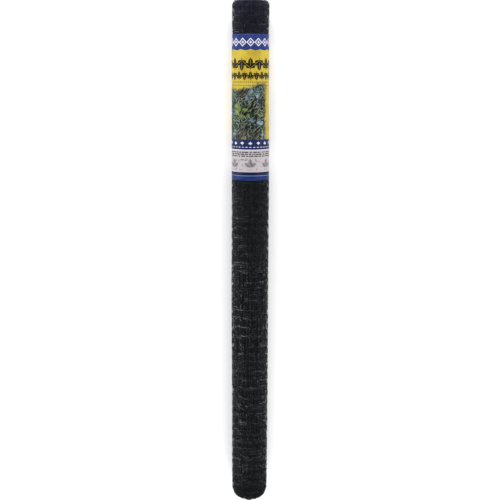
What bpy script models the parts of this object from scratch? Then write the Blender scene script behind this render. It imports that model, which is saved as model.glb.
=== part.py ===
"""Bird netting, folded once along its length, wound into a roll and held by a printed sleeve.

The roll lies on its side along +Y, with the sleeve's end at +Y and the face that the sleeve
shows turned up. Metres, +Z up, origin at the bottom centre of the whole roll. "Along" is
measured from the rounded end, and an angle round the roll is measured from straight up,
towards +X.
"""

import math

import bmesh
import bpy

# The web is 2.134 m wide and is folded once, so the roll is half as long.
WEB_WIDTH = 2.134
ROLL_LENGTH = WEB_WIDTH / 2
MESH_PITCH = 0.01905
STEPS_ROUND = 36

# Rows of mesh lie over each other in the wound layers and stand up as ribs.
RIB_DEPTH = 0.0012
FIRST_RIB = MESH_PITCH / 2
RIB_COUNT = int(ROLL_LENGTH / MESH_PITCH)

# Outer radius of the wound roll, the sleeve included, at places along it.
SECTIONS = [
    {"along": 0.030, "radius": 0.0373},
    {"along": 0.050, "radius": 0.0377},
    {"along": 0.220, "radius": 0.0380},
    {"along": 0.400, "radius": 0.0382},
    {"along": 0.570, "radius": 0.0384},
    {"along": 0.700, "radius": 0.0389},
    {"along": 0.785, "radius": 0.0390},
    {"along": 0.865, "radius": 0.0384},
    {"along": 0.946, "radius": 0.0382},
    {"along": 0.998, "radius": 0.0377},
    {"along": 1.012, "radius": 0.0374},
    {"along": 1.055, "radius": 0.0379},
]

# The last layer ends in a free edge along the roll, one layer's thickness high.
FREE_EDGE_DEG = 275
FREE_EDGE_STEP = 0.0010

# Each end is a dome: its height along the roll, and how square its shoulder is.
# The edges of the wound layers show on it as a spiral ridge round the inner turns.
ROUNDED_END = {"height": 0.031, "squareness": 2.3}
SLEEVE_END = {"height": 0.008, "squareness": 2.8}
END_RINGS = 16
TURN_PITCH = 0.0085
TURN_DEPTH = 0.0018
INNER_TURNS_RADIUS = 0.0060
INNER_TURNS_PROUD = 0.0055

# The sleeve is a printed sheet, wrapped round the roll and lapped on its lower side.
SLEEVE_LOW = 0.7013
SLEEVE_HIGH = 0.9988
SLEEVE_THICKNESS = 0.0010
SLEEVE_CLEARANCE = 0.0003
SLEEVE_EDGE_GAP = 0.0015
LAP_START_DEG = 220
LAP_DEG = 20

# The roll is pressed flat where it lies on the floor.
SPOT_DEPTH = 0.0018

MIDDLE = ROLL_LENGTH / 2
ROUNDED_SHOULDER = INNER_TURNS_PROUD + ROUNDED_END["height"]
SLEEVE_END_SHOULDER = ROLL_LENGTH - SLEEVE_END["height"]

NETTING_FINISH = {"colour": (0.013, 0.014, 0.017, 1.0), "roughness": 0.42}
SLEEVE_FINISH = {"colour": (0.25, 0.26, 0.22, 1.0), "roughness": 0.30}


def clear_scene():
    for thing in list(bpy.data.objects):
        bpy.data.objects.remove(thing)


def finish_material(name, finish):
    material = bpy.data.materials.new(name)
    material.use_nodes = True
    shader = material.node_tree.nodes["Principled BSDF"]
    shader.inputs["Base Color"].default_value = finish["colour"]
    shader.inputs["Roughness"].default_value = finish["roughness"]
    shader.inputs["Metallic"].default_value = 0.0
    return material


def outer_radius(along):
    """The radius of the table above, read between its rows."""
    if along <= SECTIONS[0]["along"]:
        return SECTIONS[0]["radius"]
    for low, high in zip(SECTIONS, SECTIONS[1:]):
        if along <= high["along"]:
            share = (along - low["along"]) / (high["along"] - low["along"])
            return low["radius"] + share * (high["radius"] - low["radius"])
    return SECTIONS[-1]["radius"]


def lump(along, angle):
    """How far the hand-wound roll stands off a true round at a place."""
    slow = 0.00035 * math.sin(2 * angle + 0.7 + 9 * along)
    quick = 0.00025 * math.sin(3 * angle - 14 * along)
    past_edge = (angle - math.radians(FREE_EDGE_DEG)) / math.tau % 1.0
    return slow + quick + FREE_EDGE_STEP * (0.5 - past_edge)


def under_sleeve(along):
    margin = SLEEVE_EDGE_GAP + 0.0005
    return SLEEVE_LOW - margin < along < SLEEVE_HIGH + margin


def net_radius(along):
    """The wound net is drawn in under the sleeve by the sleeve's own thickness."""
    drawn_in = SLEEVE_THICKNESS + SLEEVE_CLEARANCE if under_sleeve(along) else 0.0
    return outer_radius(along) - drawn_in


def floor_under(along):
    return SLEEVE_THICKNESS + SLEEVE_CLEARANCE if under_sleeve(along) else 0.0


def lay_down(along, radius, angle, lowest):
    """A place on the roll, in the frame where the roll lies on its flat spot."""
    centre_height = outer_radius(along) - SPOT_DEPTH
    height = centre_height + radius * math.cos(angle)
    return (radius * math.sin(angle), along - MIDDLE, max(height, lowest))


def dome_points(end, shoulder_radius):
    """(height over the shoulder, radius), from the dome's centre out to its shoulder."""
    power = 2 / end["squareness"]
    points = []
    for ring in range(END_RINGS + 1):
        radius = shoulder_radius * ring / END_RINGS
        slope = math.asin((radius / shoulder_radius) ** (1 / power))
        points.append((end["height"] * math.cos(slope) ** power, radius))
    return points


def side_points():
    """(along, radius) of the ribbed side, from the rounded end to the sleeve's end."""
    edges = (SLEEVE_LOW - SLEEVE_EDGE_GAP, SLEEVE_HIGH + SLEEVE_EDGE_GAP)
    places = {edge: RIB_DEPTH / 2 for edge in edges}
    for rib in range(RIB_COUNT):
        crest = FIRST_RIB + rib * MESH_PITCH
        for along, depth in ((crest, 0.0), (crest + MESH_PITCH / 2, RIB_DEPTH)):
            if min(abs(along - edge) for edge in edges) > SLEEVE_EDGE_GAP:
                places[along] = depth
    margin = MESH_PITCH / 6
    low = ROUNDED_SHOULDER + margin
    high = SLEEVE_END_SHOULDER - margin
    inside = sorted(along for along in places if low < along < high)
    return [(along, net_radius(along) - places[along]) for along in inside]


def roll_profile():
    """(radius, along) of the turned net, from the sleeve's end down to the rounded end."""
    low = ROUNDED_SHOULDER
    high = SLEEVE_END_SHOULDER
    near = [(r, high + up) for up, r in dome_points(SLEEVE_END, net_radius(high))]
    side = [(r, along) for along, r in reversed(side_points())]
    far = [(r, low - up) for up, r in reversed(dome_points(ROUNDED_END, net_radius(low)))]
    return near + side + far


def turned_mesh(name, profile):
    """The profile turned round the Z axis, as a closed mesh."""
    line = bpy.data.meshes.new(name + "_profile")
    points = [(radius, 0, along) for radius, along in profile]
    edges = [(i, i + 1) for i in range(len(points) - 1)]
    line.from_pydata(points, edges, [])
    turning = bpy.data.objects.new(name + "_turning", line)
    bpy.context.scene.collection.objects.link(turning)
    screw = turning.modifiers.new("turn", "SCREW")
    screw.axis = "Z"
    screw.steps = STEPS_ROUND
    screw.render_steps = STEPS_ROUND
    screw.use_merge_vertices = True
    screw.merge_threshold = 0.00001
    bpy.context.view_layer.update()
    evaluated = turning.evaluated_get(bpy.context.evaluated_depsgraph_get())
    mesh = bpy.data.meshes.new_from_object(evaluated)
    bpy.data.objects.remove(turning)
    return mesh


def turn_depth(along, radius, angle):
    """How deep the groove beside the spiral ridge is at a place on an end."""
    turns = radius / TURN_PITCH - angle / math.tau
    groove = abs(turns % 1.0 - 0.5) * 2
    from_middle = radius / INNER_TURNS_RADIUS - 1
    from_rim = (net_radius(along) - radius) / TURN_PITCH
    return TURN_DEPTH * groove * max(0.0, min(1.0, from_middle, from_rim))


def shaped_end(along, radius, angle):
    """Adds the spiral of layers, and the inner turns that stand proud at the rounded end."""
    if along < ROUNDED_SHOULDER:
        proud = INNER_TURNS_PROUD if radius < INNER_TURNS_RADIUS else 0.0
        return along - proud + turn_depth(along, radius, angle)
    if along > SLEEVE_END_SHOULDER:
        return along - turn_depth(along, radius, angle)
    return along


def make_netting_roll(material, parts):
    mesh = turned_mesh("netting_roll", roll_profile())
    for vertex in mesh.vertices:
        side, depth, along = vertex.co
        radius = math.hypot(side, depth)
        angle = math.atan2(side, -depth)
        fade = min(1.0, radius / net_radius(along))
        lowest = floor_under(along)
        along = shaped_end(along, radius, angle)
        vertex.co = lay_down(along, radius + fade * lump(along, angle), angle, lowest)
    mesh.name = "netting_roll"
    mesh.shade_smooth()
    mesh.set_sharp_from_angle(angle=math.radians(30))
    mesh.materials.clear()
    mesh.materials.append(material)
    roll = bpy.data.objects.new("netting_roll", mesh)
    parts.objects.link(roll)
    return roll


def sleeve_rows():
    ribs = [FIRST_RIB + rib * MESH_PITCH for rib in range(RIB_COUNT)]
    inner = [along for along in ribs if SLEEVE_LOW + 0.004 < along < SLEEVE_HIGH - 0.004]
    return [SLEEVE_LOW, *inner, SLEEVE_HIGH]


def make_label_sleeve(material, parts):
    """A flat sheet wrapped round the roll: its last columns lap over its first."""
    rows = sleeve_rows()
    step = 360 // STEPS_ROUND
    turns = list(range(LAP_START_DEG, LAP_START_DEG + 360 + LAP_DEG + 1, step))
    sheet = bmesh.new()
    bmesh.ops.create_grid(sheet, x_segments=len(turns) - 1, y_segments=len(rows) - 1, size=0.5)
    for vertex in sheet.verts:
        column = round((vertex.co.x + 0.5) * (len(turns) - 1))
        row = round((vertex.co.y + 0.5) * (len(rows) - 1))
        along = rows[row]
        angle = math.radians(turns[column])
        lapped = turns[column] >= LAP_START_DEG + 360
        over = SLEEVE_THICKNESS + SLEEVE_CLEARANCE if lapped else 0.0
        radius = outer_radius(along) - SLEEVE_THICKNESS + lump(along, angle) + over
        vertex.co = lay_down(along, radius, angle, SLEEVE_THICKNESS)
    mesh = bpy.data.meshes.new("label_sleeve")
    sheet.to_mesh(mesh)
    sheet.free()
    mesh.shade_smooth()
    mesh.materials.append(material)
    sleeve = bpy.data.objects.new("label_sleeve", mesh)
    parts.objects.link(sleeve)
    thicken = sleeve.modifiers.new("thickness", "SOLIDIFY")
    thicken.thickness = SLEEVE_THICKNESS
    thicken.offset = 1.0
    thicken.use_even_offset = True
    return sleeve


def main():
    clear_scene()
    parts = bpy.data.collections.new("bird_netting_roll")
    bpy.context.scene.collection.children.link(parts)
    make_netting_roll(finish_material("netting", NETTING_FINISH), parts)
    make_label_sleeve(finish_material("printed_sleeve", SLEEVE_FINISH), parts)


main()
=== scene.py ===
import math
import random

import bmesh
import bpy
from mathutils import Euler, Matrix, Vector, noise
from mathutils.bvhtree import BVHTree


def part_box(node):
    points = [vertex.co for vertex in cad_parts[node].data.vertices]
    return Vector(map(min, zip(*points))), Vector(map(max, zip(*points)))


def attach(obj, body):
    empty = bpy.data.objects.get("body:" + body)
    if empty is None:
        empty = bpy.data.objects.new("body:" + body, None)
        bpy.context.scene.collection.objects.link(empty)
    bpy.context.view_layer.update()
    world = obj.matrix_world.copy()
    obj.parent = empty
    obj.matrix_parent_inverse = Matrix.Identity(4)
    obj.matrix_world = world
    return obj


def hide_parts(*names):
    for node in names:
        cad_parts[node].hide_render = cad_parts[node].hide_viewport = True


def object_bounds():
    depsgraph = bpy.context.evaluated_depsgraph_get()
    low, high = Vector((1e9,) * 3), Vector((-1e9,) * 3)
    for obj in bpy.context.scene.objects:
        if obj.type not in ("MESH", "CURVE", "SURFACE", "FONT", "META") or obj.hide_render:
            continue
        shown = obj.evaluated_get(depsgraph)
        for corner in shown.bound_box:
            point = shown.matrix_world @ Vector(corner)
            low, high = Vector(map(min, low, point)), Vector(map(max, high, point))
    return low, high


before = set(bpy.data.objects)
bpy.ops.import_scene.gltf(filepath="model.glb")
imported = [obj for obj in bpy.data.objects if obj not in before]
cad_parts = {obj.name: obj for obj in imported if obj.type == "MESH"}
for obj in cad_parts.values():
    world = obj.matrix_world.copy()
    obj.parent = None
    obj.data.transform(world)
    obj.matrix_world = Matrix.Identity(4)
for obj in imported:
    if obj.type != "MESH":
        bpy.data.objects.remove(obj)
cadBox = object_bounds()
print("frame loaded")

random.seed(19)
scene = bpy.context.scene

# The roll lies along Y. "Along" is the distance in metres from its rounded end, and an
# angle round it is measured from straight up, towards +X.
rollLength = cadBox[1].y - cadBox[0].y
farEnd = cadBox[0].y
axisHeight = 0.0368

roundedEnd = {
    "height": 0.031,          # how far the dome reaches past its shoulder
    "squareness": 2.3,
    "shoulder": 0.0365,       # along
    "direction": -1,
}
sleeveEnd = {
    "height": 0.008,
    "squareness": 2.8,
    "shoulder": rollLength - 0.008,
    "direction": 1,
}

netting = {
    "pitch": 0.01905,         # 3/4 in mesh
    "turns": 4.5,             # outer turns that are modelled strand by strand
    "woundRadius": 0.0375,
    "freeEdge": math.radians(275),
    "strandRadius": 0.00029,
    "knotSwell": 1.5,         # strands are thick where they cross and thin between
    "middleThin": 0.85,
    "cellSteps": 3,           # points along a strand from one crossing to the next
    "overFloor": 0.000435,    # least height of a strand's middle
    "turnDepth": 0.00062,     # how far one turn lies under the next
    "plyDepth": 0.00024,
    "plyShift": 0.0034,       # the lower ply's rows lie a little along the roll
    "fold": 0.014,            # the plies part this far from the fold
    "calmFoot": (0.004, 0.05),     # along: no wandering before it, all after it
    "calmHead": (-0.002, -0.016),  # the same, from the sleeve's end
    "rowSlide": 0.0100,       # how far crossings wander, slowly and by jerks
    "aroundSlide": 0.0046,
    "bunching": 0.0030,
    "jog": 0.0011,
    "kink": 0.0009,
    "looseness": 0.0011,
    "flare": 0.0004,          # the two ends are wound a little more loosely
    "proud": 0.0004,
    "underSleeve": 0.0009,    # least depth where the sleeve lies on the net
    "tuck": (0.006, 0.001),   # outside and inside its edge, where that dip starts and ends
    "sag": 0.0006,            # long strands dip between rows, and some stand out
    "standOut": 0.0025,
    "stub": 0.0075,           # cut ends past the free edge
    "stubLift": 0.0034,
    "edgeLift": 0.0020,       # the free edge and its corner stand off the roll
    "edgeReach": 2.6,         # columns from the edge
    "cornerLift": 0.0014,
    "cornerReach": 3.0,       # rows from the rounded end
}

sleeve = {
    "node": "label_sleeve",
    "radius": 0.0384,         # mean, for the scale of the print
    "solidStep": 0.0013,      # the solid net is drawn in by this much under the sleeve
    "solidMargin": 0.002,     # and this far past it
    "paper": 0.00025,
    "lapStart": math.radians(220),
    "lap": math.radians(20),
    "lapRise": 0.0004,        # over the part under it, gained in lapFade radians
    "lapFade": 0.12,
    "columns": 120,
    "rows": 64,
    "proud": 0.00035,
    "ripple": 0.00016,        # the paper follows the rows of mesh under it
    "edgeLift": 0.0005,       # its two long edges curl up a little
    "edgeWide": 0.012,
}

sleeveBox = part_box(sleeve["node"])
sleeveLow = sleeveBox[0].y - farEnd
sleeveHigh = sleeveBox[1].y - farEnd


def link(thing):
    scene.collection.objects.link(thing)
    return thing


def smoothStep(low, high, value):
    share = min(1.0, max(0.0, (value - low) / (high - low)))
    return share * share * (3 - 2 * share)


# skin of the solid roll, read from the frame


def solidTree(node):
    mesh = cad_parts[node].data
    corners = [v.co for v in mesh.vertices]
    faces = [list(p.vertices) for p in mesh.polygons]
    return BVHTree.FromPolygons(corners, faces)


rollTree = solidTree("netting_roll")
skin = {"columns": 72, "apart": 0.004, "alongs": [], "radii": []}


def skinHit(along, angle):
    out = Vector((math.sin(angle), 0, math.cos(angle)))
    start = Vector((0, farEnd + along, axisHeight)) + out * 0.1
    place = rollTree.ray_cast(start, -out)[0]
    return (place - Vector((0, farEnd + along, axisHeight))).length


def readSkin():
    pitch = netting["pitch"]
    rows = int(rollLength / pitch)
    crests = [pitch / 2 + pitch * row for row in range(rows)]
    low = roundedEnd["shoulder"]
    high = sleeveEnd["shoulder"]
    inside = [c for c in crests if low + skin["apart"] < c < high - skin["apart"]]
    skin["alongs"] = [low, *inside, high]
    angles = [math.tau * column / skin["columns"] for column in range(skin["columns"])]
    for along in skin["alongs"]:
        margin = sleeve["solidMargin"]
        step = sleeve["solidStep"] if sleeveLow - margin < along < sleeveHigh + margin else 0.0
        skin["radii"].append([skinHit(along, angle) + step for angle in angles])


def skinRadius(along, angle):
    alongs = skin["alongs"]
    along = min(max(along, alongs[0]), alongs[-1] - 1e-6)
    low = 0
    high = len(alongs) - 1
    while high - low > 1:
        middle = (low + high) // 2
        if alongs[middle] <= along:
            low = middle
        else:
            high = middle
    share = (along - alongs[low]) / (alongs[high] - alongs[low])
    column = angle / math.tau * skin["columns"] % skin["columns"]
    first = int(column)
    turn = column - first
    second = (first + 1) % skin["columns"]
    near = skin["radii"][low][first] * (1 - turn) + skin["radii"][low][second] * turn
    far = skin["radii"][high][first] * (1 - turn) + skin["radii"][high][second] * turn
    return near * (1 - share) + far * share


readSkin()
print("skin read:", len(skin["alongs"]), "rows")


def domePath(end):
    # places on the dome by how far they are round it from its shoulder
    steps = 48
    power = 2 / end["squareness"]
    radius = skinRadius(end["shoulder"], 0.0)
    path = []
    gone = 0.0
    last = None
    for step in range(steps + 1):
        slope = math.pi / 2 * (1 - step / steps)
        inward = math.sin(slope) ** power
        outward = math.cos(slope) ** power if step else 0.0
        place = Vector((radius * inward, end["height"] * outward))
        if last is not None:
            gone += (place - last).length
        path.append((gone, inward, outward))
        last = place
    return path


roundedEnd["path"] = domePath(roundedEnd)
sleeveEnd["path"] = domePath(sleeveEnd)


def onDome(end, gone, angle, depth):
    path = end["path"]
    gone = min(gone, path[-1][0])
    step = next(i for i in range(1, len(path)) if path[i][0] >= gone - 1e-9)
    low = path[step - 1]
    high = path[step]
    share = (gone - low[0]) / (high[0] - low[0])
    inward = low[1] + share * (high[1] - low[1])
    outward = low[2] + share * (high[2] - low[2])
    radius = (skinRadius(end["shoulder"], angle) - depth) * inward
    along = end["shoulder"] + end["direction"] * (end["height"] - depth) * outward
    return radius, along


def rollPoint(along, angle, depth, lowest):
    # a place under the skin; past a shoulder the web turns in over the dome
    if along < roundedEnd["shoulder"]:
        radius, along = onDome(roundedEnd, roundedEnd["shoulder"] - along, angle, depth)
    elif along > sleeveEnd["shoulder"]:
        radius, along = onDome(sleeveEnd, along - sleeveEnd["shoulder"], angle, depth)
    else:
        radius = skinRadius(along, angle) - depth
    height = max(axisHeight + radius * math.cos(angle), lowest)
    return Vector((radius * math.sin(angle), farEnd + along, height))


# materials


def fromScreen(red, green, blue):
    def linear(value):
        value /= 255
        return value / 12.92 if value <= 0.04045 else ((value + 0.055) / 1.055) ** 2.4
    return (linear(red), linear(green), linear(blue), 1.0)


def addNode(tree, kind, inputs=None, **settings):
    node = tree.nodes.new("ShaderNode" + kind)
    for key, value in settings.items():
        setattr(node, key, value)
    for key, value in (inputs or {}).items():
        if isinstance(value, bpy.types.NodeSocket):
            tree.links.new(value, node.inputs[key])
        else:
            node.inputs[key].default_value = value
    return node


def doMath(tree, operation, first, second=0.0, third=0.0, clamp=False):
    inputs = {0: first, 1: second, 2: third}
    return addNode(tree, "Math", inputs, operation=operation, use_clamp=clamp).outputs[0]


def times(tree, first, second):
    return doMath(tree, "MULTIPLY", first, second)


def plus(tree, first, second):
    return doMath(tree, "ADD", first, second)


def minus(tree, first, second):
    return doMath(tree, "SUBTRACT", first, second)


def softNoise(tree, place, scale, detail):
    inputs = {"Vector": place, "Scale": scale, "Detail": detail}
    return addNode(tree, "TexNoise", inputs).outputs["Fac"]


def ramp(tree, value, low, high):
    inputs = {"Value": value, "From Min": low, "From Max": high, "To Min": 0.0, "To Max": 1.0}
    return addNode(tree, "MapRange", inputs, interpolation_type="SMOOTHSTEP").outputs["Result"]


def mixColour(tree, share, first, second):
    node = addNode(tree, "Mix", {"Factor": share}, data_type="RGBA")
    for socket, value in ((node.inputs[6], first), (node.inputs[7], second)):
        if isinstance(value, bpy.types.NodeSocket):
            tree.links.new(value, socket)
        else:
            socket.default_value = value
    return node.outputs[2]


def newGroup(name, takes, gives):
    tree = bpy.data.node_groups.new(name, "ShaderNodeTree")
    for label, kind, value in takes:
        socket = tree.interface.new_socket(label, in_out="INPUT", socket_type="NodeSocket" + kind)
        if value is not None:
            socket.default_value = value
    for label, kind in gives:
        tree.interface.new_socket(label, in_out="OUTPUT", socket_type="NodeSocket" + kind)
    return tree, tree.nodes.new("NodeGroupInput").outputs, tree.nodes.new("NodeGroupOutput").inputs


def giveOut(tree, gives, **values):
    for label, value in values.items():
        tree.links.new(value, gives[label])
    return tree


def useGroup(tree, group, **inputs):
    node = tree.nodes.new("ShaderNodeGroup")
    node.node_tree = group
    for key, value in inputs.items():
        socket = node.inputs[key]
        if isinstance(value, bpy.types.NodeSocket):
            tree.links.new(value, socket)
        else:
            socket.default_value = value
    return node.outputs


def newMaterial(name):
    material = bpy.data.materials.new(name)
    material.use_nodes = True
    tree = material.node_tree
    return material, tree, tree.nodes["Principled BSDF"]


# fine dust and handling marks, on the plastic and on the paper
def makeDust():
    tree, takes, gives = newGroup(
        "surfaceDust",
        [("Vector", "Vector", None), ("Grain", "Float", 300.0), ("Amount", "Float", 1.0)],
        [("Mask", "Float"), ("Height", "Float")],
    )
    fine = softNoise(tree, takes["Vector"], takes["Grain"], 4.0)
    patch = ramp(tree, softNoise(tree, takes["Vector"], 14.0, 3.0), 0.38, 0.66)
    mask = times(tree, times(tree, patch, ramp(tree, fine, 0.45, 0.72)), takes["Amount"])
    return giveOut(tree, gives, Mask=mask, Height=fine)


surfaceDust = makeDust()


# where the net gets pale specks, partly scuffs and partly painted glints, and a violet tint; in
# metres from the roll's middle
scuffAndGlintLayout = {
    "speckFadeAlong": (-0.04, 0.07),   # along: more specks before it, fewer after it
    "dome": (-0.51, -0.45),   # no specks round the rounded end, which is left dark
    "violetTint": (0.25, 0.45),     # a violet tint towards the sleeve's end, in two steps
    "endFilm": (0.49, 0.53),
    "middle": 0.007,          # across: fewest specks here, a painted shade along the top of the roll
    "sides": (0.008, 0.026),  # from there: no extra specks before it, all after it; on the flanks they are painted glints where the side lamps catch the strands
    # painted glints along the left rim, where the left lamp catches the strands
    "leftRim": (0.022, 0.031),
    "sideShare": 0.46,
    "sideLeast": 0.4,         # of the flanks' share, also where the specks fade along the roll
    "speckShareAlong": 0.24,
    "leastShare": 0.16,
    "rimShare": 0.9,
    "speck": (0.57, 0.67),    # of the noise: no mark under it, a full one over it
}


def makeScuffsAndGlints():
    tree, takes, gives = newGroup(
        "netScuffsAndGlints",
        [("Vector", "Vector", None), ("Stretch", "Vector", (1.0, 1.0, 1.0)),
         ("Grain", "Float", 520.0)],
        [("Specks", "Float"), ("Film", "Float")],
    )
    parts = addNode(tree, "SeparateXYZ", {0: takes["Vector"]}).outputs
    loose = minus(tree, 1.0, ramp(tree, parts["Y"], *scuffAndGlintLayout["speckFadeAlong"]))
    violetTint = times(tree, ramp(tree, parts["Y"], *scuffAndGlintLayout["violetTint"]), 0.5)
    violetTint = plus(tree, violetTint, times(tree, ramp(tree, parts["Y"], *scuffAndGlintLayout["endFilm"]), 0.5))
    # the specks are partly scuffs and partly painted glints: thickest on the flanks and the left
    # rim, where the side lamps would catch the strands, and fewest along the top, a painted shade
    # there
    offMiddle = doMath(tree, "ABSOLUTE", minus(tree, parts["X"], scuffAndGlintLayout["middle"]))
    aside = times(tree, ramp(tree, offMiddle, *scuffAndGlintLayout["sides"]), scuffAndGlintLayout["sideShare"])
    leftRim = ramp(tree, times(tree, parts["X"], -1.0), *scuffAndGlintLayout["leftRim"])
    scuffedAndLit = times(tree, plus(tree, aside, scuffAndGlintLayout["speckShareAlong"]), loose)
    scuffedAndLit = plus(tree, scuffedAndLit, times(tree, aside, scuffAndGlintLayout["sideLeast"]))
    scuffedAndLit = plus(tree, scuffedAndLit, times(tree, leftRim, scuffAndGlintLayout["rimShare"]))
    scuffedAndLit = plus(tree, scuffedAndLit, scuffAndGlintLayout["leastShare"])
    scuffedAndLit = times(tree, scuffedAndLit, ramp(tree, parts["Y"], *scuffAndGlintLayout["dome"]))
    streaky = addNode(tree, "VectorMath", {0: takes["Vector"], 1: takes["Stretch"]},
                      operation="MULTIPLY").outputs[0]
    speckPattern = ramp(tree, softNoise(tree, streaky, takes["Grain"], 1.0), *scuffAndGlintLayout["speck"])
    return giveOut(tree, gives, Specks=times(tree, speckPattern, scuffedAndLit), Film=violetTint)


netScuffsAndGlints = makeScuffsAndGlints()


# how each sort of strand is speckled with scuffs and painted glints; the marks on those that run
# round the roll are long, painted highlight streaks along the strands
strandLooks = {
    "around": {"grain": 450.0, "stretch": (0.12, 1.0, 0.12), "pale": (114, 120, 128),
               "shine": 0.065},
    "length": {"grain": 450.0, "stretch": (1.0, 1.0, 1.0), "pale": (120, 126, 134),
               "shine": 0.065},
    "knot": {"grain": 520.0, "stretch": (1.0, 1.0, 1.0), "pale": (156, 162, 170),
             "shine": 0.18},
}


def makeNetPlastic(name, look):
    # black plastic with dust, a violet tint, and pale specks that are partly scuffs and partly
    # painted glints
    material, tree, shader = newMaterial(name)
    spot = addNode(tree, "TexCoord").outputs["Object"]
    dust = useGroup(tree, surfaceDust, Vector=spot, Grain=260.0, Amount=0.45)
    scuffsAndGlints = useGroup(tree, netScuffsAndGlints, Vector=spot, Stretch=look["stretch"], Grain=look["grain"])
    slow = softNoise(tree, spot, 60.0, 2.0)
    colour = mixColour(tree, slow, fromScreen(11, 14, 15), fromScreen(20, 23, 25))
    violetTint = times(tree, scuffsAndGlints["Film"], 0.6)
    colour = mixColour(tree, violetTint, colour, fromScreen(42, 40, 60))
    colour = mixColour(tree, dust["Mask"], colour, fromScreen(44, 46, 54))
    # pale specks: painted glints mixed with scuffs, thickest on the flanks and left rim
    colour = mixColour(tree, scuffsAndGlints["Specks"], colour, fromScreen(*look["pale"]))
    tree.links.new(colour, shader.inputs["Base Color"])
    rough = addNode(tree, "MapRange", {"Value": slow, "From Min": 0.3, "From Max": 0.7,
                                       "To Min": 0.20, "To Max": 0.40}).outputs["Result"]
    chalky = plus(tree, rough, times(tree, scuffsAndGlints["Specks"], 0.3))
    tree.links.new(chalky, shader.inputs["Roughness"])
    shader.inputs["Specular IOR Level"].default_value = look["shine"]
    bump = addNode(tree, "Bump", {"Height": dust["Height"], "Strength": 0.25, "Distance": 0.0002})
    tree.links.new(bump.outputs["Normal"], shader.inputs["Normal"])
    return material


# the turns too deep to model: streaks of strands both ways, with painted shade in the gaps
def makeDeepNet():
    material, tree, shader = newMaterial("deepNetPlastic")
    spot = addNode(tree, "TexCoord").outputs["Object"]
    masks = []
    for scale, low, high in (((900.0, 22.0, 900.0), 0.48, 0.66),
                             ((30.0, 1100.0, 30.0), 0.50, 0.68)):
        drawnOut = addNode(tree, "Mapping", {"Vector": spot, "Scale": scale}).outputs[0]
        masks.append(ramp(tree, softNoise(tree, drawnOut, 1.0, 2.0), low, high))
    strands = doMath(tree, "MAXIMUM", *masks)
    dust = useGroup(tree, surfaceDust, Vector=spot, Grain=400.0, Amount=0.5)
    # the gaps are painted near black, a painted shade in the voids between the deep strands
    colour = mixColour(tree, strands, fromScreen(5, 5, 6), fromScreen(20, 22, 26))
    colour = mixColour(tree, dust["Mask"], colour, fromScreen(30, 31, 34))
    scuffsAndGlints = useGroup(tree, netScuffsAndGlints, Vector=spot)
    violetTint = times(tree, scuffsAndGlints["Film"], 0.8)
    colour = mixColour(tree, violetTint, colour, fromScreen(36, 34, 52))
    tree.links.new(colour, shader.inputs["Base Color"])
    shader.inputs["Roughness"].default_value = 0.6
    shader.inputs["Specular IOR Level"].default_value = 0.12
    bump = addNode(tree, "Bump", {"Height": strands, "Strength": 0.9, "Distance": 0.0006})
    tree.links.new(bump.outputs["Normal"], shader.inputs["Normal"])
    return material


aroundPlastic = makeNetPlastic("aroundNetPlastic", strandLooks["around"])
lengthPlastic = makeNetPlastic("blackNetPlastic", strandLooks["length"])
knotPlastic = makeNetPlastic("scuffedGlintNetPlastic", strandLooks["knot"])
deepNet = makeDeepNet()
print("net materials made")


# the wound net


def finishPiece(piece, replaced):
    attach(piece, "root")
    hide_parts(replaced)


def strandPiece(name, strands, material):
    # strands are lists of (place, swell) along each strand's middle
    curve = bpy.data.curves.new(name + "Line", "CURVE")
    curve.dimensions = "3D"
    curve.bevel_depth = netting["strandRadius"]
    curve.bevel_resolution = 0
    curve.use_fill_caps = True
    for strand in strands:
        spline = curve.splines.new("POLY")
        spline.points.add(len(strand) - 1)
        spline.points.foreach_set("co", [v for place, swell in strand for v in (*place, 1.0)])
        spline.points.foreach_set("radius", [swell for place, swell in strand])
    line = link(bpy.data.objects.new(name + "Line", curve))
    bpy.context.view_layer.update()
    evaluated = line.evaluated_get(bpy.context.evaluated_depsgraph_get())
    mesh = bpy.data.meshes.new_from_object(evaluated)
    bpy.data.objects.remove(line)
    shape = bmesh.new()
    shape.from_mesh(mesh)
    bmesh.ops.remove_doubles(shape, verts=shape.verts, dist=1e-7)
    bmesh.ops.recalc_face_normals(shape, faces=shape.faces)
    shape.to_mesh(mesh)
    shape.free()
    mesh.name = name
    mesh.shade_smooth()
    mesh.materials.clear()
    mesh.materials.append(material)
    piece = link(bpy.data.objects.new(name, mesh))
    print(name, "made:", len(mesh.polygons), "faces")
    return piece


columnsPerTurn = math.tau * netting["woundRadius"] / netting["pitch"]
columnCount = int(netting["turns"] * columnsPerTurn)
rowCount = int(rollLength / netting["pitch"])


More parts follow.
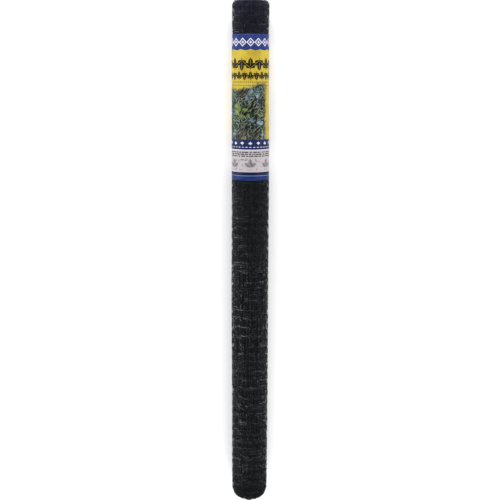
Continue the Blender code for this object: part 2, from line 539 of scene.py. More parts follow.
def webPoint(ply, column, row, extraDepth=0.0):
    # a crossing of the web: columns run round the roll from the free edge, rows along it
    turn = max(0.0, column) / columnsPerTurn
    angle = netting["freeEdge"] + math.tau * column / columnsPerTurn
    along = netting["pitch"] * (row + 0.5)
    fold = smoothStep(0.0, netting["fold"], along)
    seed = 40.0 * ply * fold
    slide = noise.noise(Vector((column * 0.13 + seed, row * 0.83, 3.1)))
    around = noise.noise(Vector((column * 0.37 + seed, row * 0.24, 7.7)))
    jog = noise.noise(Vector((column * 2.3 + seed, row * 2.9, 1.3)))
    kink = noise.noise(Vector((column * 5.1 + seed, row * 5.7, 6.3)))
    inner = smoothStep(*netting["calmFoot"], along)
    inner *= smoothStep(*netting["calmHead"], along - rollLength)
    along += (netting["plyShift"] * ply * fold + netting["rowSlide"] * slide) * inner
    groove = noise.noise(Vector((math.sin(angle) * 4.6, math.cos(angle) * 4.6, along * 15.0)))
    moved = netting["aroundSlide"] * around + netting["bunching"] * groove
    moved += netting["jog"] * jog + netting["kink"] * kink
    along += netting["kink"] * jog * inner
    angle += moved / netting["woundRadius"]
    rough = noise.noise(Vector((column * 0.9 + seed, row * 0.7, 9.4)))
    depth = netting["turnDepth"] * turn + netting["plyDepth"] * ply * fold
    depth += netting["looseness"] * rough - netting["flare"] * (1 - inner) - netting["proud"]
    depth += extraDepth
    outside, within = netting["tuck"]
    covered = smoothStep(sleeveLow - outside, sleeveLow + within, along)
    covered *= smoothStep(sleeveHigh + outside, sleeveHigh - within, along)
    depth = max(depth, netting["underSleeve"] * covered)
    return rollPoint(along, angle, depth, netting["overFloor"])


def freeEdgeLift(column, row):
    # the free edge stands off the roll, most at its corner by the rounded end
    near = smoothStep(-netting["edgeReach"], 0.0, -column)
    wave = 0.6 + 1.3 * noise.noise(Vector((row * 0.9, column * 1.1, 4.2)))
    corner = smoothStep(-netting["cornerReach"], 0.0, -row)
    return near * (netting["edgeLift"] * max(0.0, wave) + netting["cornerLift"] * corner)


def strandSwell(step):
    return netting["middleThin"] if step % netting["cellSteps"] else netting["knotSwell"]


def makeAroundStrands():
    strands = []
    for ply in range(2):
        for row in range(rowCount):
            strand = []
            stub = netting["stub"] * random.uniform(0.3, 1.0) / netting["pitch"]
            lift = netting["stubLift"] * random.uniform(0.1, 1.0)
            skew = random.uniform(-0.10, 0.10)
            strand.append((webPoint(ply, -stub, row + skew, -lift - freeEdgeLift(0, row)), 1.4))
            for step in range(columnCount * netting["cellSteps"] + 1):
                column = step / netting["cellSteps"]
                extra = -freeEdgeLift(column, row)
                strand.append((webPoint(ply, column, row, extra), strandSwell(step)))
            strands.append(strand)
    return strandPiece("aroundStrands", strands, aroundPlastic)


def makeLengthStrands():
    strands = []
    for ply in range(2):
        for column in range(columnCount + 1):
            strand = [(webPoint(ply, column, -0.5), 1.1)]
            for step in range((rowCount - 1) * netting["cellSteps"] + 1):
                row = step / netting["cellSteps"]
                dip = 0.0
                if step % netting["cellSteps"]:
                    loose = noise.noise(Vector((column * 1.7 + 60 * ply, row * 1.1, 2.2)))
                    wild = noise.noise(Vector((column * 3.3 + 60 * ply, row * 4.7, 8.2)))
                    dip = netting["sag"] * (0.45 + 1.5 * loose) - netting["standOut"] * wild
                extra = dip - freeEdgeLift(column, row)
                strand.append((webPoint(ply, column, row, extra), strandSwell(step)))
            stub = random.uniform(0.30, 0.62)
            strand.append((webPoint(ply, column, rowCount - 1 + stub, -0.0004), 0.9))
            strands.append(strand)
    return strandPiece("lengthStrands", strands, lengthPlastic)


# flat pads where the strands cross, each turned a little by chance
knots = {
    "wide": 0.00135,
    "top": 0.00085,
    "thick": 0.00050,
    "tilt": math.radians(17),
    "turn": 0.4,
    "proud": 0.00012,
    "clear": 0.0011,          # least height of a pad's middle over the floor
}


def knotFrame(place):
    # the net's own directions at a place on it: out, along and around
    place.z = max(place.z, knots["clear"])
    middle = min(max(place.y, farEnd + roundedEnd["shoulder"]), farEnd + sleeveEnd["shoulder"])
    out = (place - Vector((0, middle, axisHeight))).normalized()
    around = Vector((0, 1, 0)).cross(out).normalized()
    facing = Matrix((around, out.cross(around), out)).transposed().to_4x4()
    rolled = random.gauss(0, knots["tilt"])
    pitched = random.gauss(0, knots["tilt"])
    turned = random.uniform(-knots["turn"], knots["turn"])
    tilted = Euler((rolled, pitched, turned)).to_matrix().to_4x4()
    return Matrix.Translation(place + out * knots["proud"]) @ facing @ tilted


def makeKnots():
    pads = bmesh.new()
    for ply in range(2):
        for row in range(rowCount):
            band = bmesh.new()
            for column in range(columnCount + 1):
                place = webPoint(ply, column, row, -freeEdgeLift(column, row))
                bmesh.ops.create_cone(band, cap_ends=True, segments=4, radius1=knots["wide"],
                                      radius2=knots["top"], depth=knots["thick"],
                                      matrix=knotFrame(place))
            bandMesh = bpy.data.meshes.new("knotBand")
            band.to_mesh(bandMesh)
            band.free()
            pads.from_mesh(bandMesh)
            bpy.data.meshes.remove(bandMesh)
    mesh = bpy.data.meshes.new("strandKnots")
    pads.to_mesh(mesh)
    pads.free()
    mesh.materials.append(knotPlastic)
    print("strandKnots made:", len(mesh.polygons), "faces")
    return link(bpy.data.objects.new("strandKnots", mesh))


# the turns under the modelled ones, as one turned solid
core = {
    "gap": 0.0006,            # from the lowest modelled turn down to it
    "endSteps": 12,
    "steps": 64,
    "lumps": 0.0005,
}


def endOutline(end, depth):
    steps = core["endSteps"]
    reach = end["path"][-1][0]
    return [onDome(end, reach * (1 - step / steps), 0.0, depth) for step in range(steps + 1)]


def makeWoundCore():
    depth = core["gap"] + netting["turnDepth"] * netting["turns"]
    body = [(netting["woundRadius"] - depth, along) for along in skin["alongs"][1:-1]]
    near = endOutline(sleeveEnd, depth)
    far = endOutline(roundedEnd, depth)
    profile = [*near, *reversed(body), *reversed(far)]
    shape = bmesh.new()
    verts = [shape.verts.new((radius, farEnd + along, 0.0)) for radius, along in profile]
    edges = [shape.edges.new(pair) for pair in zip(verts, verts[1:])]
    bmesh.ops.spin(shape, geom=verts + edges, cent=(0, 0, 0), axis=(0, 1, 0), angle=math.tau,
                   steps=core["steps"], use_merge=True, use_duplicate=False)
    bmesh.ops.remove_doubles(shape, verts=shape.verts, dist=1e-6)
    for vert in shape.verts:
        angle = math.atan2(vert.co.x, vert.co.z)
        along = vert.co.y - farEnd
        radius = math.hypot(vert.co.x, vert.co.z)
        if roundedEnd["shoulder"] < along < sleeveEnd["shoulder"]:
            radius = skinRadius(along, angle) - depth
        lumps = noise.noise(Vector((math.sin(angle) * 3, math.cos(angle) * 3, along * 30)))
        radius = max(0.0, radius + core["lumps"] * lumps)
        height = max(axisHeight + radius * math.cos(angle), depth)
        vert.co = Vector((radius * math.sin(angle), vert.co.y, height))
    bmesh.ops.recalc_face_normals(shape, faces=shape.faces)
    mesh = bpy.data.meshes.new("woundCore")
    shape.to_mesh(mesh)
    shape.free()
    mesh.shade_smooth()
    mesh.materials.append(deepNet)
    return link(bpy.data.objects.new("woundCore", mesh))


# the ends: inner turns, fold loops and cut stubs

ends = {
    "turnPitch": 0.00105,
    "innerRadius": 0.0022,
    "outerRadius": 0.0345,
    "spirals": 3,
    "spiralIn": 0.0004,       # each spiral starts further in and lies deeper
    "spiralDeep": 0.0008,
    "topDeep": 0.0009,
    "stepsPerTurn": 30,
    "looseness": 0.0016,
    "sideways": 0.0009,
    "stubs": 620,
    "stubRing": 0.036,
    "stubArea": (0.004, 0.97),  # share of the ring's area that they are strewn over
    "stubTilt": 0.0018,
    "stubRoot": 0.004,        # depths of the stub's two lower points
    "stubKnee": 0.0008,
    "stubOut": (0.0004, 0.0026),
    "loops": 420,
    "loopRing": 0.034,
    "loopArea": (0.006, 0.97),
    "loopHalf": (0.0006, 0.0022),
    "loopTurn": 0.5,
    "loopTop": 0.0016,
    "nubRadius": 0.0062,      # the inner turns at the rounded end stand proud
    "nubProud": 0.0050,
}
# a fold loop's section: share of its half width, and height over its foot
loopSection = ((-1.0, -0.005), (-0.9, -0.0012), (-0.4, 0.0),
               (0.4, 0.0), (0.9, -0.0012), (1.0, -0.005))


def capPoint(end, radius, angle, proud):
    rim = skinRadius(end["shoulder"], angle)
    inward = min(1.0, radius / rim)
    outward = (1 - inward ** end["squareness"]) ** (1 / end["squareness"])
    along = end["shoulder"] + end["direction"] * (end["height"] * outward + proud)
    height = max(axisHeight + radius * math.cos(angle), netting["overFloor"])
    return Vector((radius * math.sin(angle), farEnd + along, height))


def nubRise(end, radius):
    if end is not roundedEnd:
        return 0.0
    edge = ends["nubRadius"]
    return ends["nubProud"] * smoothStep(edge + 0.002, edge - 0.001, radius)


def makeEndTurns(end):
    strands = []
    for spiral in range(ends["spirals"]):
        strand = []
        radius = ends["outerRadius"] - ends["spiralIn"] * spiral
        angle = math.tau * spiral / ends["spirals"] + 0.6
        deep = -ends["topDeep"] - ends["spiralDeep"] * spiral
        while radius > ends["innerRadius"]:
            wander = noise.noise(Vector((radius * 900 + spiral * 9, angle * 0.9, 5.0)))
            side = noise.noise(Vector((angle * 1.3, radius * 500, spiral * 7.0)))
            proud = deep + ends["looseness"] * wander + nubRise(end, radius)
            place = capPoint(end, radius + ends["sideways"] * side, angle, proud)
            strand.append((place, 1.15 + 0.4 * wander))
            angle += math.tau / ends["stepsPerTurn"]
            radius -= ends["turnPitch"] / ends["stepsPerTurn"]
        strands.append(strand)
    return strands


def makeStubs(end):
    strands = []
    for stub in range(ends["stubs"]):
        radius = ends["stubRing"] * math.sqrt(random.uniform(*ends["stubArea"]))
        angle = random.uniform(0, math.tau)
        tilt = random.uniform(-ends["stubTilt"], ends["stubTilt"])
        out = random.uniform(*ends["stubOut"])
        rise = nubRise(end, radius)
        root = capPoint(end, radius, angle, rise - ends["stubRoot"])
        knee = capPoint(end, radius + tilt * 0.3, angle, rise - ends["stubKnee"])
        tip = capPoint(end, max(0.0, radius + tilt), angle + tilt / 0.03, out + rise)
        strands.append([(root, 1.0), (knee, 1.1), (tip, 0.85)])
    return strands


def makeLoops(end):
    strands = []
    for loop in range(ends["loops"]):
        radius = ends["loopRing"] * math.sqrt(random.uniform(*ends["loopArea"]))
        angle = random.uniform(0, math.tau)
        half = random.uniform(*ends["loopHalf"])
        turned = random.uniform(-ends["loopTurn"], ends["loopTurn"])
        top = random.uniform(0.0, ends["loopTop"]) + nubRise(end, radius)
        loopPoints = []
        for share, rise in loopSection:
            across = radius + half * share * math.cos(turned)
            swing = half * share * math.sin(turned) / max(radius, 0.004)
            loopPoints.append((capPoint(end, max(0.0, across), angle + swing, top + rise), 1.1))
        strands.append(loopPoints)
    return strands


netPieces = [makeAroundStrands(), makeLengthStrands(), makeKnots(), makeWoundCore()]
for netEnd, makeMore, pieceName in ((roundedEnd, makeLoops, "roundedEndTurns"),
                                    (sleeveEnd, makeStubs, "sleeveEndTurns")):
    endStrands = makeEndTurns(netEnd) + makeMore(netEnd)
    netPieces.append(strandPiece(pieceName, endStrands, lengthPlastic))
for netPiece in netPieces:
    finishPiece(netPiece, "netting_roll")
print("net wound")


# the printed sleeve


def sleevePoint(acrossShare, alongShare):
    along = sleeveLow + alongShare * (sleeveHigh - sleeveLow)
    gone = acrossShare * (math.tau + sleeve["lap"])
    angle = sleeve["lapStart"] + gone
    over = smoothStep(math.tau - sleeve["lapFade"], math.tau, gone)
    rib = 0.5 - 0.5 * math.cos(math.tau * (along / netting["pitch"] - 0.5))
    wave = noise.noise(Vector((math.sin(angle) * 2.2, math.cos(angle) * 2.2, along * 26)))
    fromEdge = min(along - sleeveLow, sleeveHigh - along)
    nearEdge = smoothStep(sleeve["edgeWide"], 0.0, fromEdge)
    curl = 0.5 + 0.5 * noise.noise(Vector((angle * 1.4, along * 3, 8.0)))
    radius = skinRadius(along, angle) + sleeve["proud"] + sleeve["lapRise"] * over
    radius += sleeve["ripple"] * (wave - rib) + sleeve["edgeLift"] * nearEdge * curl
    height = max(axisHeight + radius * math.cos(angle), sleeve["paper"] + 0.00005)
    return Vector((radius * math.sin(angle), farEnd + along, height))


def makeSleeve(material):
    sheet = bmesh.new()
    sheet.loops.layers.uv.new("print")
    bmesh.ops.create_grid(sheet, x_segments=sleeve["columns"], y_segments=sleeve["rows"],
                          size=0.5, calc_uvs=True)
    for vert in sheet.verts:
        vert.co = sleevePoint(vert.co.x + 0.5, vert.co.y + 0.5)
    mesh = bpy.data.meshes.new("printedSleeve")
    sheet.to_mesh(mesh)
    sheet.free()
    mesh.shade_smooth()
    mesh.materials.append(material)
    piece = link(bpy.data.objects.new("printedSleeve", mesh))
    wall = piece.modifiers.new("paper", "SOLIDIFY")
    wall.thickness = sleeve["paper"]
    wall.offset = -1.0
    return piece


# the print: heights are millimetres over the sleeve's lower edge, and places across it are
# millimetres from the middle of the face that looks up
inkShade = 0.36               # share of black in every ink
printed = {
    "footLine": 9.0,
    "footDark": 10.6,
    "panel": 17.2,
    "band": 62.4,
    "bandLine": 1.2,
    "leaves": 84.2,
    "yellow": 193.0,
    "header": 265.6,
    "leafEdge": (6.0, 21.0),      # height and length of the leaf picture's waves
    "unevenness": 14.0,
    "margin": (47.0, 121.0, 8.0), # yellow margin: place, repeat and half width
    "marginFade": (-3.0, 9.0),
    "scallop": (2.4, 21.0),
    "lattice": (280.6, 17.0, 8.6),
    "largeSprigs": (236.5, 26.0, 18.6),
    "smallSprigs": (213.2, 18.0, 12.4),
    "dots": ((200.5, 1.9, 4.4), (194.0, 1.7, 3.8)),
    "marks": (76.6, 6.8, 16.4),
    "smallMarks": (68.4, 1.0, 7.6),
    "rules": (58.2, 54.2, 50.2),
    "ruleHalf": 1.15,
    "drawings": (34.0, 22.0, 37.0),
    "twigs": (21.0, 46.0),
}
ink = {
    "blue": (38, 58, 130),
    "deepBlue": (26, 40, 92),
    "footBlue": (18, 50, 114),
    "darkBlue": (18, 30, 72),
    "paleBlue": (116, 130, 180),
    "white": (246, 246, 252),
    "yellow": (224, 201, 72),
    "warmYellow": (200, 170, 56),
    "black": (26, 28, 24),
    "paper": (206, 198, 203),
    "grey": (26, 24, 30),
}


def inkColour(name):
    return fromScreen(*ink[name])


def makeLeafShape():
    tree, takes, gives = newGroup(
        "leafShape",
        [("Vector", "Vector", None), ("Length", "Float", 5.0), ("Width", "Float", 2.0)],
        [("Mask", "Float"), ("Vein", "Float"), ("Half", "Float")],
    )
    parts = addNode(tree, "SeparateXYZ", {0: takes["Vector"]}).outputs
    down = doMath(tree, "DIVIDE", parts["Y"], takes["Length"])
    narrow = minus(tree, 1.0, times(tree, down, down))
    half = times(tree, takes["Width"], narrow)
    side = doMath(tree, "ABSOLUTE", parts["X"])
    mask = doMath(tree, "LESS_THAN", side, half)
    vein = doMath(tree, "LESS_THAN", side, times(tree, half, 0.14))
    across = doMath(tree, "DIVIDE", parts["X"], takes["Width"])
    return giveOut(tree, gives, Mask=mask, Vein=vein, Half=ramp(tree, across, -0.5, 0.9))


def makeRepeatAcross():
    tree, takes, gives = newGroup(
        "repeatAcross",
        [("Vector", "Vector", None), ("Height", "Float", 0.0), ("Period", "Float", 20.0),
         ("Flip", "Float", 0.0)],
        [("Vector", "Vector")],
    )
    parts = addNode(tree, "SeparateXYZ", {0: takes["Vector"]}).outputs
    half = times(tree, takes["Period"], 0.5)
    across = doMath(tree, "WRAP", parts["X"], half, times(tree, half, -1.0))
    cell = doMath(tree, "ROUND", doMath(tree, "DIVIDE", parts["X"], takes["Period"]))
    odd = doMath(tree, "FLOORED_MODULO", cell, 2.0)
    turned = times(tree, times(tree, odd, takes["Flip"]), -2.0)
    sign = plus(tree, turned, 1.0)
    height = times(tree, minus(tree, parts["Y"], takes["Height"]), sign)
    place = addNode(tree, "CombineXYZ", {"X": across, "Y": height}).outputs[0]
    return giveOut(tree, gives, Vector=place)


# three leaves on a short stalk, repeated along a row
def makeSprigRow(leafShape, repeatAcross):
    tree, takes, gives = newGroup(
        "sprigRow",
        [("Vector", "Vector", None), ("Height", "Float", 0.0), ("Size", "Float", 20.0),
         ("Period", "Float", 20.0), ("Flip", "Float", 1.0)],
        [("Mask", "Float"), ("Vein", "Float")],
    )
    local = useGroup(tree, repeatAcross, Vector=takes["Vector"], Height=takes["Height"],
                     Period=takes["Period"], Flip=takes["Flip"])["Vector"]
    parts = addNode(tree, "SeparateXYZ", {0: local}).outputs
    long = times(tree, takes["Size"], 0.34)
    wide = times(tree, takes["Size"], 0.19)
    masks = []
    veins = []
    for turn, aside, up in ((0.0, 0.0, 0.17), (0.95, 0.25, -0.10), (-0.95, -0.25, -0.10)):
        shift = {"X": times(tree, takes["Size"], aside), "Y": times(tree, takes["Size"], up)}
        shift = addNode(tree, "CombineXYZ", shift).outputs[0]
        moved = addNode(tree, "VectorMath", {0: local, 1: shift}, operation="SUBTRACT").outputs[0]
        turned = addNode(tree, "VectorRotate", {"Vector": moved, "Angle": turn},
                         rotation_type="Z_AXIS")
        leaf = useGroup(tree, leafShape, Vector=turned.outputs[0], Length=long, Width=wide)
        masks.append(leaf["Mask"])
        veins.append(leaf["Vein"])
    foot = doMath(tree, "GREATER_THAN", parts["Y"], times(tree, takes["Size"], -0.48))
    upTo = doMath(tree, "LESS_THAN", parts["Y"], 0.0)
    thin = doMath(tree, "LESS_THAN", doMath(tree, "ABSOLUTE", parts["X"]), 0.55)
    mask = times(tree, thin, times(tree, foot, upTo))
    for each in masks:
        mask = doMath(tree, "MAXIMUM", mask, each)
    vein = doMath(tree, "MAXIMUM", doMath(tree, "MAXIMUM", veins[0], veins[1]), veins[2])
    return giveOut(tree, gives, Mask=mask, Vein=vein)


def makeLozengeRow(repeatAcross):
    tree, takes, gives = newGroup(
        "lozengeRow",
        [("Vector", "Vector", None), ("Height", "Float", 0.0), ("Tall", "Float", 8.0),
         ("Period", "Float", 17.0)],
        [("Ring", "Float"), ("Middle", "Float"), ("Full", "Float")],
    )
    local = useGroup(tree, repeatAcross, Vector=takes["Vector"], Height=takes["Height"],
                     Period=takes["Period"])["Vector"]
    parts = addNode(tree, "SeparateXYZ", {0: local}).outputs
    half = times(tree, takes["Period"], 0.5)
    across = doMath(tree, "DIVIDE", doMath(tree, "ABSOLUTE", parts["X"]), half)
    upward = doMath(tree, "DIVIDE", doMath(tree, "ABSOLUTE", parts["Y"]), takes["Tall"])
    reach = plus(tree, across, upward)
    full = doMath(tree, "LESS_THAN", reach, 0.82)
    outer = doMath(tree, "LESS_THAN", reach, 1.02)
    ring = times(tree, outer, doMath(tree, "GREATER_THAN", reach, 0.70))
    middle = doMath(tree, "LESS_THAN", reach, 0.34)
    return giveOut(tree, gives, Ring=ring, Middle=middle, Full=full)


# leaves strewn over a surface, each turned and shaded by chance
def makeLeafScatter(leafShape):
    tree, takes, gives = newGroup(
        "leafScatter",
        [("Vector", "Vector", None), ("Spacing", "Float", 10.0), ("Length", "Float", 5.0),
         ("Width", "Float", 2.0), ("Turn", "Float", 0.0), ("Spread", "Float", 6.0)],
        [("Mask", "Float"), ("Vein", "Float"), ("Half", "Float"), ("Shade", "Float")],
    )
    scale = doMath(tree, "DIVIDE", 1.0, takes["Spacing"])
    inputs = {"Vector": takes["Vector"], "Scale": scale, "Randomness": 0.75}
    cells = addNode(tree, "TexVoronoi", inputs, voronoi_dimensions="2D").outputs
    chance = addNode(tree, "SeparateColor", {0: cells["Color"]}).outputs
    local = addNode(tree, "VectorMath", {0: takes["Vector"], 1: cells["Position"]},
                    operation="SUBTRACT")
    swing = times(tree, minus(tree, chance["Red"], 0.5), takes["Spread"])
    angle = plus(tree, takes["Turn"], swing)
    turned = addNode(tree, "VectorRotate", {"Vector": local.outputs[0], "Angle": angle},
                     rotation_type="Z_AXIS")
    leaf = useGroup(tree, leafShape, Vector=turned.outputs[0], Length=takes["Length"],
                    Width=takes["Width"])
    return giveOut(tree, gives, Mask=leaf["Mask"], Vein=leaf["Vein"], Half=leaf["Half"],
                   Shade=chance["Green"])


leafShape = makeLeafShape()
repeatAcross = makeRepeatAcross()
sprigRow = makeSprigRow(leafShape, repeatAcross)
lozengeRow = makeLozengeRow(repeatAcross)
leafScatter = makeLeafScatter(leafShape)

# spacing, length, width, turn, spread, dark ink, light ink, and where the layer grows
leafLayers = [
    {"leaf": (6.6, 6.0, 0.95, 0.75, 0.7), "dark": (30, 46, 42), "light": (146, 166, 140),
     "patch": (0.022, 3.0, 0.30, 0.40)},
    {"leaf": (7.4, 6.4, 1.1, -0.7, 0.8), "dark": (40, 72, 68), "light": (144, 172, 156),
     "patch": (0.026, 11.0, 0.46, 0.54)},
    {"leaf": (11.5, 6.4, 2.9, 0.0, 6.2), "dark": (42, 54, 34), "light": (142, 150, 92),
     "patch": (0.024, 21.0, 0.50, 0.56)},
    {"leaf": (11.0, 5.8, 4.2, 0.0, 6.2), "dark": (66, 92, 110), "light": (154, 174, 188),
     "patch": (0.022, 37.0, 0.52, 0.58)},
    {"leaf": (13.0, 6.6, 4.8, 0.0, 6.2), "dark": (96, 112, 40), "light": (158, 172, 72),
     "patch": (0.022, 57.0, 0.57, 0.62)},
]


def leafPicture(tree, place):
    streaks = addNode(tree, "Mapping", {"Vector": place, "Rotation": (0, 0, 0.7),
                                        "Scale": (0.30, 0.06, 1)}).outputs[0]
    light = ramp(tree, softNoise(tree, streaks, 1.0, 3.0), 0.46, 0.66)
    brown = mixColour(tree, light, fromScreen(26, 28, 26), fromScreen(122, 90, 74))
    green = mixColour(tree, light, fromScreen(20, 25, 26), fromScreen(52, 64, 50))
    level = ramp(tree, addNode(tree, "SeparateXYZ", {0: place}).outputs["Y"], 88.0, 118.0)
    lower = minus(tree, 0.14, times(tree, level, 0.14))
    patch = plus(tree, softNoise(tree, place, 0.04, 2.0), lower)
    colour = mixColour(tree, ramp(tree, patch, 0.50, 0.62), green, brown)
    for layer in leafLayers:
        spacing, long, wide, turn, spread = layer["leaf"]
        leaf = useGroup(tree, leafScatter, Vector=place, Spacing=spacing, Length=long, Width=wide,
                        Turn=turn, Spread=spread)
        scale, seed, low, high = layer["patch"]
        moved = addNode(tree, "Mapping", {"Vector": place, "Location": (seed, seed * 2, 0)})
        where = ramp(tree, softNoise(tree, moved.outputs[0], scale, 1.0), low, high)
        dark = fromScreen(*layer["dark"])
        tint = mixColour(tree, leaf["Shade"], dark, fromScreen(*layer["light"]))
        tint = mixColour(tree, times(tree, leaf["Half"], 0.75), tint, dark)
        vein = times(tree, leaf["Vein"], 0.4)
        tint = mixColour(tree, vein, tint, fromScreen(168, 178, 156))
        share = times(tree, leaf["Mask"], doMath(tree, "GREATER_THAN", where, 0.5))
        colour = mixColour(tree, share, colour, tint)
    return colour


def over(page, edge):
    return doMath(page["tree"], "GREATER_THAN", page["height"], edge)


def paint(page, colour, share, name):
    return mixColour(page["tree"], share, colour, inkColour(name))


def paintGround(page):
    colour = paint(page, inkColour("footBlue"), over(page, printed["footLine"]), "paleBlue")
    colour = paint(page, colour, over(page, printed["footDark"]), "darkBlue")
    colour = paint(page, colour, over(page, printed["panel"]), "paper")
    colour = paint(page, colour, over(page, printed["band"]), "white")
    colour = paint(page, colour, over(page, printed["band"] + printed["bandLine"]), "deepBlue")
    leaves = leafPicture(page["tree"], page["place"])
    return mixColour(page["tree"], over(page, printed["leaves"]), colour, leaves)


def paintYellow(page, colour):
    # the yellow field over the leaves and the margin beside them fade into the picture
    tree = page["tree"]
    tone = ramp(tree, softNoise(tree, page["place"], 0.03, 2.0), 0.35, 0.75)
    yellow = mixColour(tree, tone, inkColour("yellow"), inkColour("warmYellow"))
    tall, long = printed["leafEdge"]
    wave = doMath(tree, "SINE", doMath(tree, "DIVIDE", page["across"], long))
    wave = times(tree, wave, tall)
    half = printed["unevenness"] / 2
    rough = times(tree, softNoise(tree, page["place"], 0.16, 3.0), printed["unevenness"])
    edge = plus(tree, plus(tree, wave, rough), printed["yellow"] - half)
    top = ramp(tree, minus(tree, page["height"], edge), -5.0, 3.0)
    middle, repeat, wide = printed["margin"]
    aside = minus(tree, page["across"], middle)
    aside = doMath(tree, "ABSOLUTE", doMath(tree, "WRAP", aside, repeat / 2, -repeat / 2))
    beside = minus(tree, aside, minus(tree, rough, half))
    low, high = printed["marginFade"]
    glow = minus(tree, 1.0, ramp(tree, beside, wide + low, wide + high))
    margin = times(tree, glow, over(page, printed["leaves"]))
    return mixColour(tree, doMath(tree, "MAXIMUM", top, margin), colour, yellow)


def paintHeader(page, colour):
    tree = page["tree"]
    deep, length = printed["scallop"]
    bow = doMath(tree, "SINE", times(tree, page["across"], math.pi / length))
    bow = times(tree, doMath(tree, "ABSOLUTE", bow), deep)
    hem = minus(tree, printed["header"] + deep / 2, bow)
    colour = paint(page, colour, doMath(tree, "GREATER_THAN", page["height"], hem), "blue")
    middle, period, tall = printed["lattice"]
    chain = useGroup(tree, lozengeRow, Vector=page["place"], Height=middle, Tall=tall,
                     Period=period)
    return paint(page, colour, doMath(tree, "MAXIMUM", chain["Ring"], chain["Middle"]), "white")


def paintRows(page, colour):
    # rows of sprigs and dots on the yellow, and of white marks on the blue band
    tree = page["tree"]
    for key, name in (("largeSprigs", "black"), ("smallSprigs", "black"), ("marks", "white")):
        middle, size, period = printed[key]
        row = useGroup(tree, sprigRow, Vector=page["place"], Height=middle, Size=size,
                       Period=period)
        colour = paint(page, colour, row["Mask"], name)
        if name == "black":
            colour = paint(page, colour, times(tree, row["Vein"], 0.6), "warmYellow")
    rows = [(*dots, 0.75, "black") for dots in printed["dots"]]
    for middle, half, period, share, name in (*rows, (*printed["smallMarks"], 1.0, "white")):
        row = useGroup(tree, lozengeRow, Vector=page["place"], Height=middle, Tall=half,
                       Period=period)
        colour = paint(page, colour, times(tree, row["Full"], share), name)
    return colour


def dashRow(page, middle):
    # a thin rule broken into short dashes of unlike length
    tree = page["tree"]
    place = plus(tree, page["across"], middle * 7.0)
    cut = addNode(tree, "TexNoise", {"W": place, "Scale": 0.30, "Detail": 1.0},
                  noise_dimensions="1D").outputs["Fac"]
    on = doMath(tree, "GREATER_THAN", cut, 0.44)
    off = doMath(tree, "ABSOLUTE", minus(tree, page["height"], middle))
    return times(tree, on, doMath(tree, "LESS_THAN", off, printed["ruleHalf"]))


def paintPanel(page, colour):
    # rules, sprigs and twigs in grey on the pale panel
    tree = page["tree"]
    place = page["place"]
    for middle in printed["rules"]:
        colour = paint(page, colour, dashRow(page, middle), "grey")
    middle, size, period = printed["drawings"]
    drawn = useGroup(tree, sprigRow, Vector=place, Height=middle, Size=size, Period=period,
                     Flip=0.0)
    line = times(tree, drawn["Mask"], 0.42)
    line = doMath(tree, "ADD", line, times(tree, drawn["Vein"], 0.5), clamp=True)
    colour = paint(page, colour, line, "grey")
    low, high = printed["twigs"]
    twigs = useGroup(tree, leafScatter, Vector=place, Spacing=9.0, Length=4.6, Width=1.7,
                     Spread=5.0)
    within = times(tree, over(page, low), doMath(tree, "LESS_THAN", page["height"], high))
    faint = times(tree, times(tree, twigs["Mask"], twigs["Shade"]), 0.55)
    return paint(page, colour, times(tree, faint, within), "grey")


def makePrint():
    material, tree, shader = newMaterial("printedPaper")
    sheet = addNode(tree, "UVMap", uv_map="print").outputs[0]
    turned = math.tau + sleeve["lap"]
    wide = turned * sleeve["radius"] * 1000
    tall = (sleeveHigh - sleeveLow) * 1000
    front = (math.tau - sleeve["lapStart"]) / turned
    place = addNode(tree, "Mapping", {"Vector": sheet, "Scale": (wide, tall, 1.0),
                                      "Location": (-front * wide, 0.0, 0.0)}).outputs[0]
    parts = addNode(tree, "SeparateXYZ", {0: place}).outputs
    page = {"tree": tree, "place": place, "across": parts["X"], "height": parts["Y"]}
    colour = paintYellow(page, paintGround(page))
    colour = paintPanel(page, paintRows(page, paintHeader(page, colour)))

    spot = addNode(tree, "TexCoord").outputs["Object"]
    dust = useGroup(tree, surfaceDust, Vector=spot, Grain=420.0, Amount=0.16)
    colour = mixColour(tree, dust["Mask"], colour, fromScreen(170, 168, 166))
    colour = mixColour(tree, inkShade, colour, (0.0, 0.0, 0.0, 1.0))
    tree.links.new(colour, shader.inputs["Base Color"])
    gloss = addNode(tree, "MapRange", {"Value": dust["Mask"], "To Min": 0.46, "To Max": 0.70})
    tree.links.new(gloss.outputs["Result"], shader.inputs["Roughness"])
    shader.inputs["Specular IOR Level"].default_value = 0.08
    creased = addNode(tree, "Mapping", {"Vector": spot, "Scale": (60.0, 14.0, 60.0)})
    crease = softNoise(tree, creased.outputs[0], 1.0, 3.0)
    relief = plus(tree, crease, times(tree, dust["Height"], 0.06))
    bump = addNode(tree, "Bump", {"Height": relief, "Strength": 0.5, "Distance": 0.0009})
    tree.links.new(bump.outputs["Normal"], shader.inputs["Normal"])
    return material


finishPiece(makeSleeve(makePrint()), "label_sleeve")
print("sleeve made")


# floor, light and camera


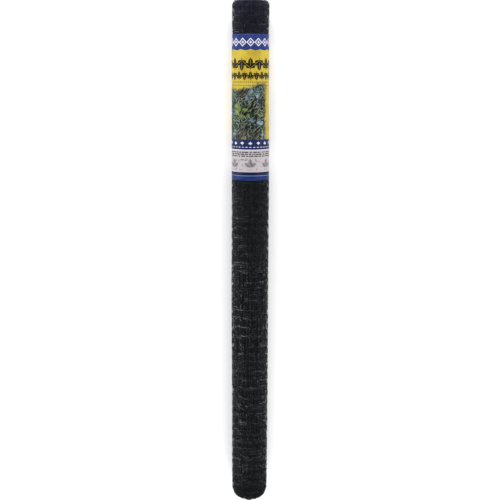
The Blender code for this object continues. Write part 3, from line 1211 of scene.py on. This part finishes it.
def makeFloor():
    ground = bmesh.new()
    bmesh.ops.create_grid(ground, x_segments=1, y_segments=1, size=5.0)
    mesh = bpy.data.meshes.new("paleFloor")
    ground.to_mesh(mesh)
    ground.free()
    material, _, shader = newMaterial("floorPaper")
    shader.inputs["Base Color"].default_value = (0.96, 0.96, 0.96, 1.0)
    shader.inputs["Roughness"].default_value = 0.8
    mesh.materials.append(material)
    floor = link(bpy.data.objects.new("paleFloor", mesh))


def softLight(name, place, target, size, power):
    lamp = bpy.data.lights.new(name, "AREA")
    lamp.shape = "RECTANGLE"
    lamp.size, lamp.size_y = size
    lamp.energy = power
    holder = link(bpy.data.objects.new(name, lamp))
    holder.location = place
    holder.rotation_euler = (Vector(target) - Vector(place)).to_track_quat("-Z", "Y").to_euler()


lamps = {
    "softLeft": {"place": (-2.5, -0.2, 0.72), "size": (0.8, 1.4), "power": 42},
    "softRight": {"place": (2.4, -0.2, 1.05), "size": (1.0, 1.6), "power": 36},
    "softFoot": {"place": (0.1, -2.7, 1.2), "size": (2.2, 1.2), "power": 78},
    "softHead": {"place": (-0.1, 2.8, 1.2), "size": (2.2, 1.2), "power": 86},
}
roomLight = 0.45


def makeLights():
    for name, lamp in lamps.items():
        softLight(name, lamp["place"], (0, 0, 0), lamp["size"], lamp["power"])
    sky = bpy.data.worlds.new("paleRoom")
    sky.use_nodes = True
    sky.node_tree.nodes["Background"].inputs["Color"].default_value = (1.0, 1.0, 1.0, 1.0)
    sky.node_tree.nodes["Background"].inputs["Strength"].default_value = roomLight
    scene.world = sky
    scene.view_settings.view_transform = "Standard"


view = {
    "lens": 83.88,            # on a 36 mm sensor
    "tilt": math.radians(-8.8),
    "turn": math.radians(0.15),
    "place": (-0.0011, 0.3933, axisHeight + 2.4267),
}


def makeCamera():
    data = bpy.data.cameras.new("viewCamera")
    data.lens = view["lens"]
    data.sensor_width = 36.0
    camera = link(bpy.data.objects.new("viewCamera", data))
    camera.location = view["place"]
    camera.rotation_euler = (view["tilt"], 0.0, view["turn"])
    scene.camera = camera


makeFloor()
makeLights()
makeCamera()
print("studio set")
